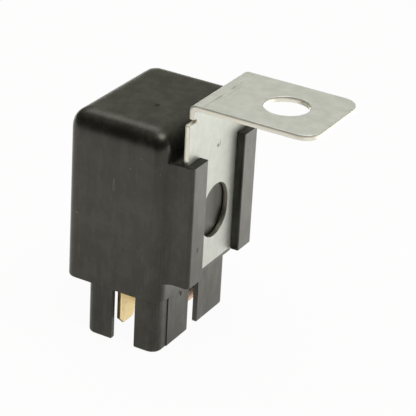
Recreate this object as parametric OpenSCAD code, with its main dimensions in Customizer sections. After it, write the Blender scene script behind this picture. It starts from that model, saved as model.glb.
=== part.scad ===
// Changeover relay for a vehicle: a moulded cover with rails, a steel bracket that slides
// into them, a base with a shroud round five blades, and the magnet and contacts inside.
// Drawn with the cover's back left corner at the origin and its rim at height 0, then
// moved so that the feet stand on the floor under the middle of the whole relay.

/* [Cover] */
// Width of the cover, from its back to the face with the rails
cover_x = 25.1; // [24:0.1:28]
// Length of the cover
cover_y = 34.3; // [34:0.1:38]
// Height of the cover
cover_z = 41; // [41:0.1:46]
// Wall of the cover
cover_wall = 1.3; // [1:0.1:1.4]
// Radius of the upright corners
corner_r = 2.9; // [2:0.1:4]
// How far the soft edge round the top reaches, down and in
top_r = 5.2; // [3:0.1:6]
// Fullness of that soft edge, where 2 is a plain arc
top_full = 2.8; // [2:0.1:3.2]
// How far each side leans in between rim and top, to leave the mould
draft = 0.15; // [0:0.05:0.3]

/* [Rails] */
// Outer face of each rail, in from the end of the cover
rail_inset = 2.9; // [2.5:0.1:3]
// Side wall of a rail
rail_wall = 1.2; // [1:0.1:1.4]
// Reach of a lip over the bracket, from the rail's outer face
lip_reach = 6.2; // [4:0.1:7]
// Thickness of a lip
lip_t = 2.1; // [1.2:0.1:2.5]
// Radius of a rail's outer edge
rail_r = 0.9; // [0.3:0.1:1]
// Hollow round that runs a rail's side into the cover's round corner
rail_root_r = 3; // [1:0.5:4]
// Height of the pad between the rails
pad_h = 2.05; // [1:0.05:3]
// Lower end of the rails, above the rim
rail_z0 = 4.4; // [3:0.1:6]
// Upper end of the rails
rail_z1 = 33.8; // [28:0.1:35]
// Clearance round the bracket in the rails
slide_gap = 0.05; // [0.02:0.01:0.1]

/* [Bracket] */
// Thickness of the sheet
sheet = 1.3; // [1:0.1:1.5]
// Lower edge of the plate
plate_z0 = 4.7; // [4.4:0.1:6]
// Height of the shoulders
shoulder_z = 42.9; // [41:0.1:44]
// How far the neck is narrower than the plate, on each side
neck_inset = 1.5; // [1:0.1:2]
// Depth of the relief notch beside the neck
notch_depth = 1.2; // [0.5:0.1:2]
// Height of the relief notch
notch_h = 0.8; // [0.4:0.1:1]
// Top of the flange
flange_z = 47.25; // [46.5:0.05:49]
// Reach of the flange, from the plate's outer face
flange_reach = 28.1; // [22:0.1:34]
// Corner radius of the flange
flange_r = 4.2; // [2:0.1:6]
// Inner radius of the bend
bend_r = 0.4; // [0.3:0.1:1]
// Diameter of the flange's fixing hole
flange_hole_d = 10; // [6:0.1:12]
// Fixing hole, out from the plate's outer face
flange_hole_x = 15.9; // [12:0.1:18]
// Width of the plate's lightening hole
plate_hole_w = 11.4; // [8:0.1:12]
// Height of the plate's lightening hole
plate_hole_h = 12.9; // [12:0.1:15]
// Middle of the lightening hole, above the rim
plate_hole_z = 17.75; // [16:0.1:22]

/* [Shroud] */
// Height of the legs below the cover
leg_h = 12.9; // [12:0.1:16]
// Back wall of the shroud, in from the cover's back
shroud_x0 = 6; // [5:0.1:6.2]
// End of the shroud
shroud_y1 = 29.8; // [29.5:0.1:31]
// Wall of the shroud
shroud_wall = 1.25; // [1:0.05:1.4]
// How far the shroud is set back from the two sides it lines up with
shroud_step = 0.12; // [0:0.01:0.2]
// Start of the slots in the two end walls
end_slot_x0 = 12.95; // [11:0.05:13]
// Finish of the slots in the two end walls
end_slot_x1 = 19.05; // [18.8:0.05:20]
// Start of the narrow slot under the rails
rail_slot_y0 = 13.35; // [12:0.05:14]
// Finish of the narrow slot under the rails
rail_slot_y1 = 17.7; // [17:0.05:19]
// Depth of solid wall above the narrow slot
rail_slot_drop = 2; // [1:0.1:3]
// Start of the wide slot in the back wall
back_slot_y0 = 9.4; // [8:0.1:10]
// Finish of the wide slot in the back wall
back_slot_y1 = 20.6; // [18:0.1:21]
// Corner radius of the feet, seen from the side
foot_r = 0.8; // [0.3:0.1:1.2]

/* [Blades] */
// Thickness of a blade
blade_t = 0.8; // [0.8:0.1:1]
// Width of a blade
blade_w = 6.3; // [4.8:0.1:6.3]
// Depth of the blade tips below the rim
blade_drop = 9.95; // [8:0.05:11]
// Bevel at the blade tips
blade_bevel = 1.5; // [1:0.1:2]
// Common blade, across the relay
common_x = 13.55; // [13.4:0.05:14]
// Common blade, along the relay
common_y = 5.15; // [5:0.05:5.5]
// Coil blades, along the relay
coil_blade_y = 21.3; // [21:0.1:22]
// Coil blade near the wide slot
coil_a_x = 10.3; // [10:0.1:10.6]
// Coil blade near the rails
coil_b_x = 20.7; // [20.4:0.1:21]
// Middle of the make and break blades, across the relay
contact_blade_x = 15.5; // [15.3:0.1:15.7]
// Make blade, along the relay
make_y = 25.9; // [25.7:0.1:26.1]
// Break blade, along the relay
break_y = 13.2; // [13:0.1:13.6]

/* [Magnet] */
// Axis of the coil, across the relay
coil_x = 12.55; // [12.4:0.05:12.7]
// Axis of the coil, along the relay
coil_y = 14.7; // [14.6:0.05:14.8]
// Thickness of the yoke
yoke_t = 1.8; // [1.5:0.1:1.9]
// Height of the bobbin
bobbin_h = 22.8; // [20:0.1:23]
// Diameter of the winding
winding_d = 15.2; // [12:0.1:15.6]
// Diameter of the core
core_d = 7; // [6:0.1:7.4]
// Angle of the open armature
open_deg = 3; // [2:0.1:3]

/* [Hidden] */
$fn = 48;
eps = 0.01;

// Bracket and rails, out from the cover's face
plate_x0 = cover_x + pad_h + slide_gap;
plate_x1 = plate_x0 + sheet;
lip_x0 = plate_x1 + slide_gap;
lip_x1 = lip_x0 + lip_t;
plate_y0 = rail_inset + rail_wall + slide_gap;
plate_y1 = cover_y - plate_y0;
neck_y0 = plate_y0 + neck_inset;
neck_y1 = cover_y - neck_y0;
bend_x = plate_x1 + bend_r;
bend_z = flange_z - sheet - bend_r;
flange_x1 = plate_x1 + flange_reach;
middle_y = cover_y / 2;

// Floor of the base
mouth_gap = 0.1;
mouth = cover_wall + draft + mouth_gap;
shroud_x1 = cover_x - shroud_step;
floor_z0 = 0.6;
floor_z1 = 3.6;
slit_gap = 0.05;
panel_y0 = 4.5;
panel_step = 0.22;

// Heights of the magnet, from the floor up
gap = 0.05;
foot_z0 = floor_z1 + 1.85;
foot_z1 = foot_z0 + yoke_t;
bobbin_z0 = foot_z1 + 0.15;
bobbin_z1 = bobbin_z0 + bobbin_h;
bobbin_flange = 1.2;
hub_d = core_d + 1.8;
flange_x = 17;
flange_y = 16.6;
pole_d = 10.6;
pole_z0 = bobbin_z1 + 0.1;
pole_z1 = pole_z0 + 1.4;
yoke_y0 = coil_y - flange_y / 2 - 0.2 - yoke_t;
yoke_w = 12.4;
yoke_foot_y1 = coil_y + 5.4;
lug_w = 1.4;
tab_z = 21.4;
tab_t = 0.9;
tab_w = 2.4;

// Moving parts, drawn with the magnet closed
arm_z0 = pole_z1 + gap;
armature_t = 1.6;
armature_y1 = coil_y + 8.5;
tail_y0 = yoke_y0 - 2.4;
hook_y = yoke_y0 - 1.35;
leaf_z0 = arm_z0 + armature_t;
leaf_t = 0.4;
contact_y = make_y + 2.4;
contact_d = 3.6;
contact_t = 0.7;
rivet_d = 1.8;
rivet_y = armature_y1 - 1.9;
rivet_x = 3.5;
make_top = leaf_z0 - contact_t - 2 * gap;
lift = (contact_y - yoke_y0) * sin(open_deg);
break_bottom = leaf_z0 + leaf_t + contact_t + lift + 4 * gap;
upright_x0 = cover_wall + 0.6;
upright_w = 1.8;
tongue_y1 = coil_blade_y + blade_w / 2;
tongue_w = 1.1;
tongue_z = 10.5;
resistor_z = 9;
resistor_y = tongue_y1 - 0.3;

// ---------- shared shapes ----------

// From the drawing's corner to the finished frame: feet on the floor, relay in the middle.
module placed() {
    translate([-flange_x1 / 2, -middle_y, leg_h]) children();
}

module rounded_rect(x, y, r) {
    translate([r, 0]) square([x - 2 * r, y]);
    translate([0, r]) square([x, y - 2 * r]);
    for (px = [r, x - r], py = [r, y - r]) translate([px, py]) circle(r);
}

// A moulded cap: upright corners, a rolled edge round the top and a little draft.
module soft_block(inset, z0, z1) {
    edge = max(top_r - inset, 1);
    corner = max(corner_r - inset, 1);
    bow = 2 / top_full;
    hull() {
        slice(inset, corner, z0);
        for (a = [0:15:90]) {
            roll = 1 - pow(max(cos(a), 0), bow);
            slice(inset + draft + edge * roll, corner - (corner - 0.9) * roll,
                  z1 - edge + edge * pow(sin(a), bow) - eps);
        }
    }
}

module slice(inset, r, z) {
    translate([inset, inset, z]) linear_extrude(eps)
        rounded_rect(cover_x - 2 * inset, cover_y - 2 * inset, r, $fn = 32);
}

// Sheet lying in the plane across the relay (x and z), extruded along y.
module across(y0, thick) {
    translate([0, y0 + thick, 0]) rotate([90, 0, 0]) linear_extrude(thick) children();
}

// Sheet lying in the plane along the relay (y and z), extruded along x.
module along(x0, thick) {
    translate([x0, 0, 0]) rotate([90, 0, 90]) linear_extrude(thick) children();
}

module blade_outline(top) {
    polygon([[-blade_w / 2, top], [-blade_w / 2, blade_bevel - blade_drop],
             [blade_bevel - blade_w / 2, -blade_drop], [blade_w / 2 - blade_bevel, -blade_drop],
             [blade_w / 2, blade_bevel - blade_drop], [blade_w / 2, top]]);
}

// The armature and all that is riveted to it, turned open about the yoke's top edge.
module swung() {
    translate([0, yoke_y0, arm_z0]) rotate([open_deg, 0, 0])
        translate([0, -yoke_y0, -arm_z0]) children();
}

function unit(v) = v / norm(v);
function tangent(p, i) = unit(p[min(i + 1, len(p) - 1)] - p[max(i - 1, 0)]);
function flat_to(n, t) = unit(n - (n * t) * t);

// A round wire swept along points, with rings that turn as little as they can.
module wire(points, d, sides) {
    normals = [for (i = 0, n = flat_to([0.31, 0.17, 0.93], tangent(points, 0));
                    i < len(points);
                    i = i + 1, n = flat_to(n, tangent(points, i))) n];
    rings = [for (i = [0:len(points) - 1], s = [0:sides - 1])
        let (n = normals[i], b = cross(tangent(points, i), n), a = 360 * s / sides)
        points[i] + d / 2 * (n * cos(a) + b * sin(a))];
    last = (len(points) - 1) * sides;
    polyhedron(rings, concat(
        [[for (s = [0:sides - 1]) sides - 1 - s]],
        [[for (s = [0:sides - 1]) last + s]],
        [for (i = [0:len(points) - 2], s = [0:sides - 1])
            let (a = i * sides + s, b = i * sides + (s + 1) % sides)
            [a, b, b + sides, a + sides]]));
}

// ---------- housing ----------

module rail_profile() {
    y0 = rail_inset;
    translate([cover_x - 1, y0]) square([lip_x1 - rail_r - cover_x + 1, rail_wall]);
    translate([lip_x0, y0 + rail_r]) square([lip_t, lip_reach - rail_r]);
    translate([lip_x1 - rail_r, y0 + rail_r]) circle(rail_r);
    // hollow round, against the corner at half the draft's lean
    c = [cover_x - corner_r, corner_r];
    r = rail_root_r;
    reach = corner_r - draft / 2 + r;
    drop = c[1] - y0 + r;
    f = [c[0] + sqrt(reach * reach - drop * drop), y0 - r];
    difference() {
        polygon([c, f, [f[0], y0 + eps], [c[0], y0 + eps]]);
        translate(f) circle(r);
        translate(c) circle(corner_r - cover_wall / 2);
    }
}

module rails() {
    translate([0, 0, rail_z0]) linear_extrude(rail_z1 - rail_z0) {
        rail_profile();
        translate([0, cover_y]) mirror([0, 1]) rail_profile();
        translate([cover_x - 1, rail_inset + eps])
            square([pad_h + 1, cover_y - 2 * (rail_inset + eps)]);
    }
}

module cover() {
    color("#2c2b28") placed() union() {
        difference() {
            soft_block(0, 0, cover_z);
            soft_block(cover_wall, -1, cover_z - cover_wall);
        }
        rails();
    }
}

module shroud_plan(inset) {
    translate([shroud_x0 + inset, shroud_step + inset])
        rounded_rect(shroud_x1 - shroud_x0 - 2 * inset, shroud_y1 - shroud_step - 2 * inset,
                     max(2.4 - inset, 0.4));
}

// Side view of the feet, with rounded ends.
module feet_outline(length) {
    translate([0, -leg_h]) rounded_rect(length, leg_h + 3, foot_r);
}

module shroud_slots() {
    translate([end_slot_x0, -1, -leg_h - 1])
        cube([end_slot_x1 - end_slot_x0, shroud_y1 + 2, leg_h + 1]);
    translate([cover_x - 5, rail_slot_y0, -leg_h - 1])
        cube([6, rail_slot_y1 - rail_slot_y0, leg_h + 1 - rail_slot_drop]);
    translate([shroud_x0 - 1, back_slot_y0, -leg_h - 1])
        cube([6, back_slot_y1 - back_slot_y0, leg_h + 1]);
}

module blade_slits() {
    along_slit(common_x, common_y);
    along_slit(coil_a_x, coil_blade_y);
    along_slit(coil_b_x, coil_blade_y);
    across_slit(make_y);
    across_slit(break_y);
}

module along_slit(x, y) {
    t = blade_t + 2 * slit_gap;
    w = blade_w + 2 * slit_gap;
    translate([x - t / 2, y - w / 2, -1]) cube([t, w, floor_z1 + 2]);
}

module across_slit(y) {
    t = blade_t + 2 * slit_gap;
    w = blade_w + 2 * slit_gap;
    translate([contact_blade_x - w / 2, y - t / 2, -1]) cube([w, t, floor_z1 + 2]);
}

post_x = [-4.8, 4.8];
post_y = coil_y + 3.6;

module base() {
    color("#282725") placed() difference() {
        union() {
            // shroud under the cover, flush with two of its sides
            difference() {
                intersection() {
                    translate([0, 0, -leg_h]) linear_extrude(leg_h) difference() {
                        shroud_plan(0);
                        shroud_plan(shroud_wall);
                    }
                    translate([shroud_x0, 0, 0]) across(-1, shroud_y1 + 2)
                        feet_outline(shroud_x1 - shroud_x0);
                    translate([0, shroud_step, 0]) along(shroud_x0 - 1, cover_x)
                        feet_outline(shroud_y1 - shroud_step);
                }
                // the corner post steps back beside the panel under the rails
                translate([shroud_x1 - panel_step, -1, -leg_h - 1])
                    cube([1, panel_y0 + 1, leg_h + 1]);
            }
            // thick roots of the legs, up into the cover's mouth
            intersection() {
                translate([0, 0, -1.6]) linear_extrude(1.6 + floor_z0) difference() {
                    shroud_plan(eps);
                    shroud_plan(shroud_wall + 1.7);
                }
                union() {
                    translate([0, 0, -2]) cube([shroud_x1 - panel_step, cover_y, 2]);
                    translate([mouth, mouth, -1])
                        cube([cover_x - 2 * mouth, cover_y - 2 * mouth, 3]);
                }
            }
            // floor
            translate([mouth, mouth, floor_z0]) linear_extrude(floor_z1 - floor_z0)
                rounded_rect(cover_x - 2 * mouth, cover_y - 2 * mouth, 1);
            // posts that carry the yoke and pass through it
            for (dx = post_x) translate([coil_x + dx, post_y, 0]) {
                translate([0, 0, floor_z0]) cylinder(h = foot_z0 - gap - floor_z0, d = 3.2);
                translate([0, 0, floor_z0]) cylinder(h = foot_z1 - floor_z0, d = 1.9);
            }
        }
        shroud_slots();
        blade_slits();
    }
}

// Bead of resin on the floor's underside, in the part of the mouth outside the shroud.
module seal() {
    color("#3a3833") placed() translate([0, 0, 0.1]) linear_extrude(floor_z0 - 0.1)
        difference() {
            translate([mouth, mouth])
                rounded_rect(cover_x - 2 * mouth, cover_y - 2 * mouth, 1);
            translate([mouth + 1, mouth + 1])
                rounded_rect(cover_x - 2 * mouth - 2, cover_y - 2 * mouth - 2, 0.6);
            translate([shroud_x0 - gap, -1])
                square([cover_x, shroud_y1 + 1 + gap]);
        }
}

// ---------- bracket ----------

module plate_outline() {
    difference() {
        union() {
            translate([plate_y0, plate_z0]) square([plate_y1 - plate_y0, shoulder_z - plate_z0]);
            translate([neck_y0, plate_z0]) square([neck_y1 - neck_y0, bend_z - plate_z0]);
        }
        for (y = [neck_y0, neck_y1 - notch_depth])
            translate([y, shoulder_z]) square([notch_depth, notch_h]);
        lift = (plate_hole_h - plate_hole_w) / 2;
        for (dz = [-lift, lift])
            translate([middle_y, plate_hole_z + dz]) circle(d = plate_hole_w);
        translate([middle_y - plate_hole_w / 2, plate_hole_z - lift])
            square([plate_hole_w, 2 * lift]);
    }
}

module flange_outline() {
    w = neck_y1 - neck_y0;
    difference() {
        union() {
            translate([bend_x, neck_y0]) square([flange_x1 - flange_r - bend_x, w]);
            translate([bend_x, neck_y0 + flange_r])
                square([flange_x1 - bend_x, w - 2 * flange_r]);
            for (y = [neck_y0 + flange_r, neck_y1 - flange_r])
                translate([flange_x1 - flange_r, y]) circle(flange_r);
        }
        translate([plate_x1 + flange_hole_x, middle_y]) circle(d = flange_hole_d);
    }
}

module bend_profile() {
    intersection() {
        difference() {
            circle(bend_r + sheet);
            circle(bend_r);
        }
        translate([-bend_r - sheet, 0]) square(bend_r + sheet);
    }
}

module bracket() {
    color("#cfd0ca") placed() union() {
        along(plate_x0, sheet) plate_outline();
        across(neck_y0, neck_y1 - neck_y0) translate([bend_x, bend_z]) bend_profile();
        translate([0, 0, flange_z - sheet]) linear_extrude(sheet) flange_outline();
    }
}

// ---------- terminals ----------

// Blade along the relay, with a tab bent over under the yoke's foot.
module terminal_common() {
    color("#d8b878") placed() union() {
        along(common_x - blade_t / 2, blade_t)
            translate([common_y, 0]) blade_outline(foot_z0 - gap);
        translate([common_x, common_y - blade_w / 2, foot_z0 - gap - blade_t])
            cube([4.6, blade_w, blade_t]);
    }
}

module coil_terminal(x) {
    color("#cf9a6a") placed() along(x - blade_t / 2, blade_t) {
        translate([coil_blade_y, 0]) blade_outline(floor_z1 + 0.8);
        translate([tongue_y1 - tongue_w, 0]) square([tongue_w, tongue_z]);
    }
}

module terminal_coil_a() {
    coil_terminal(coil_a_x);
}

module terminal_coil_b() {
    coil_terminal(coil_b_x);
}

// Blade across the relay, stepped over to the contact and bent towards the end wall.
module terminal_make() {
    top = make_top - contact_t;
    color("#d8b878") placed() union() {
        across(make_y - blade_t / 2, blade_t) {
            translate([contact_blade_x, 0]) blade_outline(8);
            translate([coil_x - 2.6, 6]) square([contact_blade_x + blade_w / 2 - coil_x + 2.6, 3]);
            translate([coil_x - 2.6, 6]) square([5.2, top - 6]);
        }
        difference() {
            translate([coil_x - 2.6, make_y - blade_t / 2, top - blade_t])
                cube([5.2, 5, blade_t]);
            translate([coil_x, contact_y, top - 1]) cylinder(h = 2, d = rivet_d);
        }
    }
}

// Blade across the relay, led out beside the coil, up and over to the contact.
module terminal_break() {
    top = break_bottom + contact_t;
    run_z = floor_z1 + gap;
    run_h = 1.1;
    color("#d8b878") placed() union() {
        across(break_y - blade_t / 2, blade_t) {
            translate([contact_blade_x, 0]) blade_outline(run_z + run_h);
            translate([upright_x0, run_z]) square([contact_blade_x - upright_x0, run_h]);
            translate([upright_x0, run_z]) square([upright_w, top + blade_t - run_z]);
        }
        difference() {
            translate([0, 0, top]) linear_extrude(blade_t)
                polygon([[upright_x0, break_y - blade_t / 2],
                         [upright_x0 + upright_w, break_y - blade_t / 2],
                         [upright_x0 + upright_w, break_y + 4],
                         [coil_x + 2.6, contact_y - 2.8], [coil_x + 2.6, contact_y + 2.4],
                         [coil_x - 2.6, contact_y + 2.4], [coil_x - 2.6, contact_y - 1.4],
                         [upright_x0, break_y + 6]]);
            translate([coil_x, contact_y, top - 1]) cylinder(h = 3, d = rivet_d);
        }
    }
}

// ---------- contacts ----------

module rivet_contact(head_z, shank_z0, shank_z1) {
    translate([coil_x, contact_y, head_z]) cylinder(h = contact_t, d = contact_d);
    translate([coil_x, contact_y, shank_z0]) cylinder(h = shank_z1 - shank_z0, d = rivet_d);
}

module make_contact() {
    color("#d9d9d4") placed()
        rivet_contact(make_top - contact_t, make_top - contact_t - blade_t, make_top);
}

module break_contact() {
    color("#d9d9d4") placed()
        rivet_contact(break_bottom, break_bottom, break_bottom + contact_t + blade_t);
}

module moving_contact() {
    color("#d9d9d4") placed() swung() {
        rivet_contact(leaf_z0 - contact_t, leaf_z0 - contact_t, leaf_z0 + leaf_t + contact_t);
        translate([coil_x, contact_y, leaf_z0 + leaf_t]) cylinder(h = contact_t, d = contact_d);
    }
}

module contact_arm() {
    color("#c98f4e") placed() swung() difference() {
        translate([0, 0, leaf_z0]) linear_extrude(leaf_t) {
            polygon([[coil_x - 3.5, 8.6], [coil_x + 4.2, 8.6], [coil_x + 4.2, 14],
                     [coil_x + 3.5, 22], [coil_x + 2.4, 26], [coil_x - 2.4, 26],
                     [coil_x - 3.5, 22]]);
            translate([coil_x - 2.4, 25.9]) square([4.8, contact_y - 25.9]);
            translate([coil_x, contact_y]) circle(2.4);
        }
        translate([coil_x, contact_y, leaf_z0 - 1]) cylinder(h = 2, d = rivet_d);
        for (dx = [-rivet_x / 2, rivet_x / 2])
            translate([coil_x + dx, rivet_y, leaf_z0 - 1]) cylinder(h = 2, d = rivet_d);
    }
}

module arm_rivets() {
    color("#b8b4a8") placed() swung() for (dx = [-rivet_x / 2, rivet_x / 2])
        translate([coil_x + dx, rivet_y, 0]) {
            translate([0, 0, arm_z0]) cylinder(h = armature_t + leaf_t, d = rivet_d);
            translate([0, 0, leaf_z0 + leaf_t]) cylinder(h = 0.5, d = 2.8);
            translate([0, 0, arm_z0 - 0.5]) cylinder(h = 0.5, d = 2.6);
        }
}

// ---------- magnet ----------

module armature() {
    tail_w = 4;
    inner_w = yoke_w - 2 * lug_w - 0.4;
    color("#8d8f8e") placed() swung() difference() {
        translate([0, 0, arm_z0]) linear_extrude(armature_t) {
            translate([coil_x - yoke_w / 2 + 0.4, yoke_y0 + yoke_t + 0.4])
                square([yoke_w - 0.8, armature_y1 - yoke_y0 - yoke_t - 0.4]);
            translate([coil_x - inner_w / 2, yoke_y0]) square([inner_w, yoke_t + 0.5]);
            translate([coil_x - tail_w / 2, tail_y0]) square([tail_w, yoke_y0 - tail_y0 + eps]);
        }
        translate([coil_x, hook_y, arm_z0 - 1]) cylinder(h = 4, d = 0.9);
        for (dx = [-rivet_x / 2, rivet_x / 2])
            translate([coil_x + dx, rivet_y, arm_z0 - 1]) cylinder(h = 4, d = rivet_d);
    }
}

module yoke() {
    color("#a9aaa4") placed() difference() {
        union() {
            // upright leg with the two lugs that hold the armature sideways
            translate([coil_x - yoke_w / 2, yoke_y0, foot_z0 + yoke_t])
                cube([yoke_w, yoke_t, pole_z1 - foot_z0 - yoke_t]);
            for (x = [coil_x - yoke_w / 2, coil_x + yoke_w / 2 - lug_w])
                translate([x, yoke_y0, foot_z1]) cube([lug_w, yoke_t, leaf_z0 - foot_z1]);
            // bend, and foot under the coil
            intersection() {
                translate([coil_x - yoke_w / 2, yoke_y0 + yoke_t, foot_z0 + yoke_t])
                    rotate([0, 90, 0]) cylinder(h = yoke_w, r = yoke_t);
                translate([coil_x - yoke_w / 2, yoke_y0, foot_z0])
                    cube([yoke_w, yoke_t, yoke_t]);
            }
            translate([coil_x - yoke_w / 2, yoke_y0 + yoke_t, foot_z0])
                cube([yoke_w, yoke_foot_y1 - yoke_y0 - yoke_t, yoke_t]);
            // lanced tab for the spring
            translate([coil_x - tab_w / 2, tail_y0, tab_z])
                cube([tab_w, yoke_y0 - tail_y0 + eps, tab_t]);
        }
        translate([coil_x, hook_y, tab_z - 1]) cylinder(h = 3, d = 0.9);
        translate([coil_x, coil_y, foot_z0 - 1]) cylinder(h = 4, d = 5);
        for (dx = post_x) translate([coil_x + dx, post_y, foot_z0 - 1]) cylinder(h = 4, d = 2);
        translate([common_x + 2.4, common_y + 1.6, foot_z0 - 1]) cylinder(h = 4, d = rivet_d);
    }
}

module yoke_rivet() {
    x = common_x + 2.4;
    y = common_y + 1.6;
    color("#b8b4a8") placed() difference() {
        translate([x, y, foot_z0 - gap]) union() {
            cylinder(h = yoke_t + gap, d = rivet_d);
        }
        translate([x, y, foot_z1 - 0.3]) cylinder(h = 1, d = 0.9);
    }
}

module core() {
    color("#9a9b97") placed() translate([coil_x, coil_y, 0]) rotate_extrude()
        polygon([[0, foot_z0], [2.2, foot_z0], [2.5, foot_z0 + 0.3],
                 [2.5, foot_z1], [core_d / 2, foot_z1],
                 [core_d / 2, pole_z0], [pole_d / 2, pole_z0], [pole_d / 2, pole_z1 - 0.3],
                 [pole_d / 2 - 0.3, pole_z1], [0, pole_z1]]);
}

module bobbin_cheek(z) {
    translate([coil_x - flange_x / 2, coil_y - flange_y / 2, z])
        linear_extrude(bobbin_flange) rounded_rect(flange_x, flange_y, 1.6);
}

module bobbin() {
    color("#e6ddc8") placed() difference() {
        union() {
            bobbin_cheek(bobbin_z0);
            bobbin_cheek(bobbin_z1 - bobbin_flange);
            translate([coil_x, coil_y, bobbin_z0]) cylinder(h = bobbin_h, d = hub_d);
        }
        translate([coil_x, coil_y, bobbin_z0 - 1])
            cylinder(h = bobbin_h + 2, d = core_d + 2 * gap);
    }
}

module winding() {
    color("#b5642c") placed() translate([coil_x, coil_y, bobbin_z0 + bobbin_flange + gap])
        difference() {
            h = bobbin_h - 2 * (bobbin_flange + gap);
            cylinder(h = h, d = winding_d);
            translate([0, 0, -1]) cylinder(h = h + 2, d = hub_d + 2 * gap);
        }
}

module coil_tape() {
    color("#c9b23a") placed() translate([coil_x, coil_y, bobbin_z0 + bobbin_flange + 1.2])
        difference() {
            h = bobbin_h - 2 * bobbin_flange - 2.4;
            cylinder(h = h, d = winding_d + 2 * gap + 0.3);
            translate([0, 0, -1]) cylinder(h = h + 2, d = winding_d + 2 * gap);
        }
}

// Enamelled wire from the winding's lower edge to the tongue of its terminal.
module lead(x, side) {
    wire([[x, tongue_y1 - tongue_w - 0.2, bobbin_z0 + 2.6],
          [x, coil_y + winding_d / 2 + 0.9, bobbin_z0 + 2.1],
          [coil_x + side * 2.6, coil_y + winding_d / 2 + 0.5, bobbin_z0 + 1.7],
          [coil_x + side * 1.2, coil_y + winding_d / 2 + 0.3, bobbin_z0 + 1.6]], 0.3, 8);
}

module lead_a() {
    color("#b5642c") placed() lead(coil_a_x, -1);
}

module lead_b() {
    color("#b5642c") placed() lead(coil_b_x, 1);
}

// Axial resistor between the two tongues.
module resistor() {
    x0 = coil_a_x + blade_t / 2 + gap;
    x1 = coil_b_x - blade_t / 2 - gap;
    color("#b59a74") placed() translate([0, resistor_y, resistor_z]) rotate([0, 90, 0]) {
        translate([0, 0, x0]) cylinder(h = x1 - x0, d = 0.5);
        translate([0, 0, (x0 + x1) / 2 - 2.5]) cylinder(h = 5, d = 1.7);
        for (x = [(x0 + x1) / 2 - 3, (x0 + x1) / 2 + 1.9])
            translate([0, 0, x]) cylinder(h = 1.1, d = 2);
    }
}

// ---------- springs ----------

spring_d = 1.9;
spring_wire = 0.3;
spring_turns = 12;
spring_z0 = tab_z + tab_t + 1.4;
spring_z1 = arm_z0 - 1.3;

function spring_point(a) =
    [coil_x + spring_d / 2 * cos(a), hook_y + spring_d / 2 * sin(a),
     spring_z0 + (spring_z1 - spring_z0) * a / (360 * spring_turns)];

// Tension spring between the yoke's tab and the armature's tail.
module return_spring() {
    step = 24;
    turns = [for (a = [0:step:360 * spring_turns]) spring_point(a)];
    foot = [[coil_x, hook_y, tab_z + tab_t + 0.1], [coil_x, hook_y, tab_z + tab_t + 0.7],
            [coil_x + spring_d / 4, hook_y - 0.1, tab_z + tab_t + 1.1]];
    head = [[coil_x + spring_d / 4, hook_y + 0.1, arm_z0 - 1.0],
            [coil_x, hook_y, arm_z0 - 0.7], [coil_x, hook_y, arm_z0 - 0.15]];
    color("#a8a8a4") placed() wire(concat(foot, turns, head), spring_wire, 6);
}

function arc(c, r, a0, a1, n) =
    [for (i = [0:n]) let (a = a0 + (a1 - a0) * i / n) [c[0] + r * cos(a), c[1] + r * sin(a)]];

function beside(path, i, d) =
    let (t = tangent(path, i)) path[i] + d * [-t[1], t[0]];

module ribbon(path, t) {
    n = len(path) - 1;
    polygon(concat([for (i = [0:n]) beside(path, i, t / 2)],
                   [for (i = [0:n]) beside(path, n - i, -t / 2)]));
}

// Flat copper braid: lies on the leaf, loops back over the hinge and down the yoke.
module pigtail() {
    t = 0.8;
    bow = 1.7;
    cy = yoke_y0 - 0.2;
    cz = leaf_z0 + leaf_t + 1.2;
    end_z = leaf_z0 + leaf_t + 0.5 + t / 2;
    foot_z = 20.6;
    back = yoke_y0 - t / 2 - gap;
    path = concat([[cy + bow + 6, end_z], [cy + bow + 3.4, end_z], [cy + bow + 1.4, end_z + 0.15]],
                  arc([cy, cz], bow, 10, 180, 14),
                  [[cy - bow, foot_z + 2], [cy - bow + 0.4, foot_z + 1],
                   [back, foot_z], [back, foot_z - 2.6]]);
    color("#b87a4a") placed() along(coil_x + 2.3, 2.2) ribbon(path, t);
}

cover();
base();
seal();
bracket();
terminal_common();
terminal_make();
terminal_break();
terminal_coil_a();
terminal_coil_b();
make_contact();
break_contact();
moving_contact();
contact_arm();
arm_rivets();
armature();
yoke();
yoke_rivet();
core();
bobbin();
winding();
coil_tape();
lead_a();
lead_b();
resistor();
return_spring();
pigtail();
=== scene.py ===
"""Changeover relay: a moulded cover with side rails, a bent steel bracket in the rails, a slotted
base with its blades, and the magnet and contacts inside."""

import math

import bmesh
import bpy
from mathutils import Matrix, Vector
from mathutils.geometry import delaunay_2d_cdt


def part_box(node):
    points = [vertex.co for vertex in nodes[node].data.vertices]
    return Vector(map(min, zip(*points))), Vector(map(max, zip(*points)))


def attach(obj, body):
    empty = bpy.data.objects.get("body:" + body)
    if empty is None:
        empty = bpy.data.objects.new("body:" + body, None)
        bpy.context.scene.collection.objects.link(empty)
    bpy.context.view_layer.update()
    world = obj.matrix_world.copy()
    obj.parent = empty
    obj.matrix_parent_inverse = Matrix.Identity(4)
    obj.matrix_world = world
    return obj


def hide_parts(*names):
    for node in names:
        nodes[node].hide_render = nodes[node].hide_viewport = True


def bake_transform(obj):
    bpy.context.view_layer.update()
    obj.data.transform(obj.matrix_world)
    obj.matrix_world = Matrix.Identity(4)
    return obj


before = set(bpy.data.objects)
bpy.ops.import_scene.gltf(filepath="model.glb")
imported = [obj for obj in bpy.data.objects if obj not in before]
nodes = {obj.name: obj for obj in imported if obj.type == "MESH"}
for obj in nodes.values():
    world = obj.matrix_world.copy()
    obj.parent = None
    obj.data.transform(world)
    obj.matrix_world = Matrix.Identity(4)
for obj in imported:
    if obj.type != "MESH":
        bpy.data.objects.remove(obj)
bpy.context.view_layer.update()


# ---------------------------------------------------------------- cover
# The cover is one black polyamide moulding with a rolled edge round its top, and two rails with
# a pad between them on one side. It drops over the magnet, and resin joins it to the base.
# Sizes are in millimetres from the cover's back left lower corner.

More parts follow.
